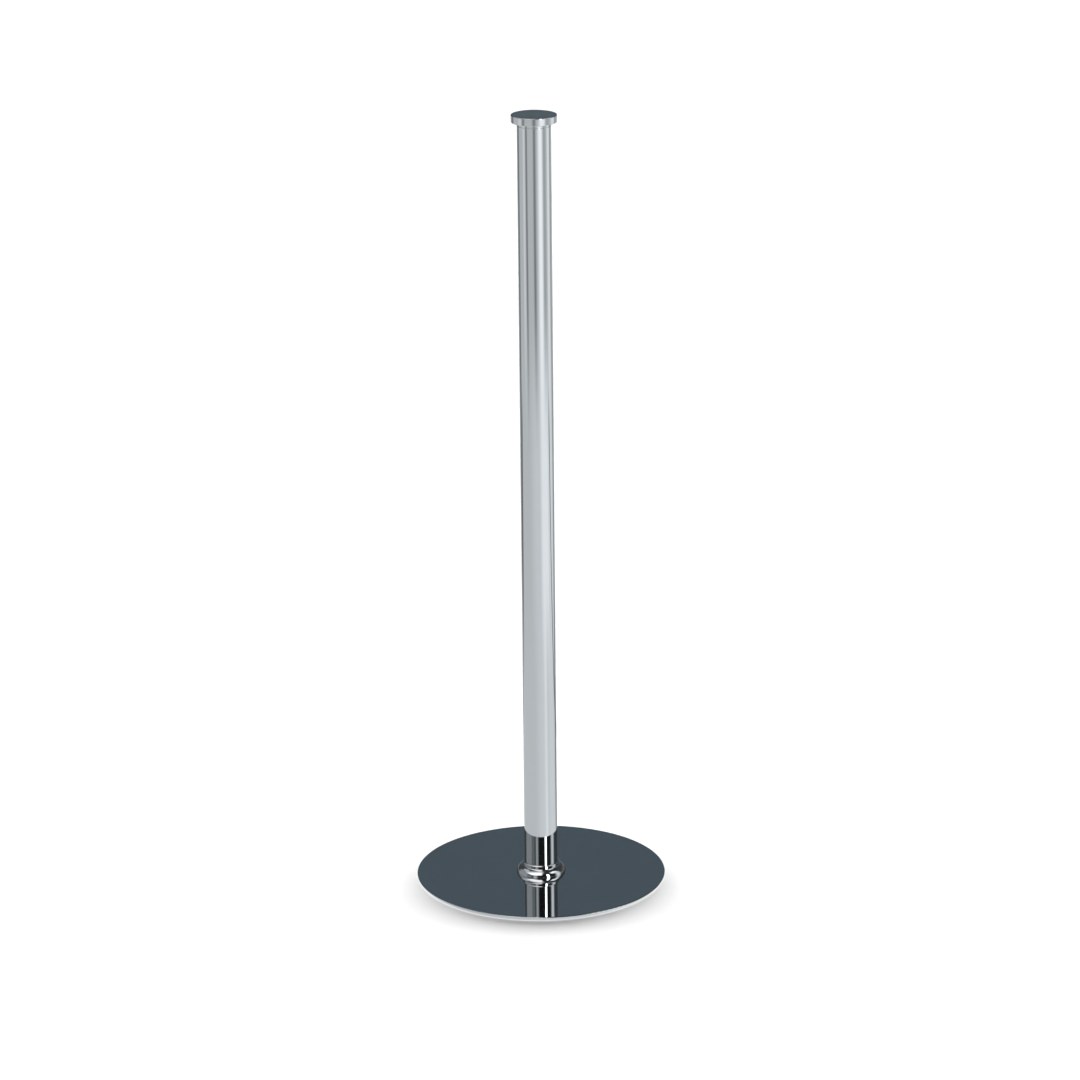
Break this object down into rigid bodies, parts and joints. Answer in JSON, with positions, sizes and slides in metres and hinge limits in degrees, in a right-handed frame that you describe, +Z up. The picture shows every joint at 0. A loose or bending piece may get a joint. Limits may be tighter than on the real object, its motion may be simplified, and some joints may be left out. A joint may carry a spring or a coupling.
{
  "type": "flag pole stand",
  "caption": "Free-standing flag pole stand: a bright round tube on a thin round floor plate, with a rounded foot collar and a flanged lift-off cap over a guided pole socket.",
  "frame": {"origin": "middle of the floor face, on the tube's axis", "axes": "+Z up along the tube's axis; +X and +Y lie on the floor, with one of the three base screws on +Y"},
  "size_m": [0.32, 0.32, 1],
  "materials": {
    "bright_metal": "mirror-polished chrome plating on steel",
    "turned_steel": "lathe-turned, oiled",
    "screw_steel": "bright zinc plate",
    "pad_rubber": "matt, fine pebble grain",
    "seal_rubber": "smooth moulded",
    "bush_plastic": "natural nylon, turned",
    "spigot_plastic": "black acetal, turned"
  },
  "bodies": {
    "stand": {"floor_pad": "pad_rubber", "base_plate": "bright_metal", "base_screws": "screw_steel", "foot_plug": "turned_steel", "stand_tube": "bright_metal", "foot_collar": "bright_metal", "collar_seal": "seal_rubber", "pole_rest_pad": "pad_rubber", "lower_guide_bush": "bush_plastic", "upper_guide_bush": "bush_plastic"},
    "cap": {"cap_disc": "bright_metal", "cap_spigot": "spigot_plastic", "cap_grip_rings": "seal_rubber", "cap_washer": "screw_steel", "cap_screw": "screw_steel"}
  },
  "joints": [
    {"name": "cap_lift", "type": "slide", "parent": "stand", "child": "cap", "axis": [0, 0, 1], "range_m": [0, 0.06]}
  ]
}
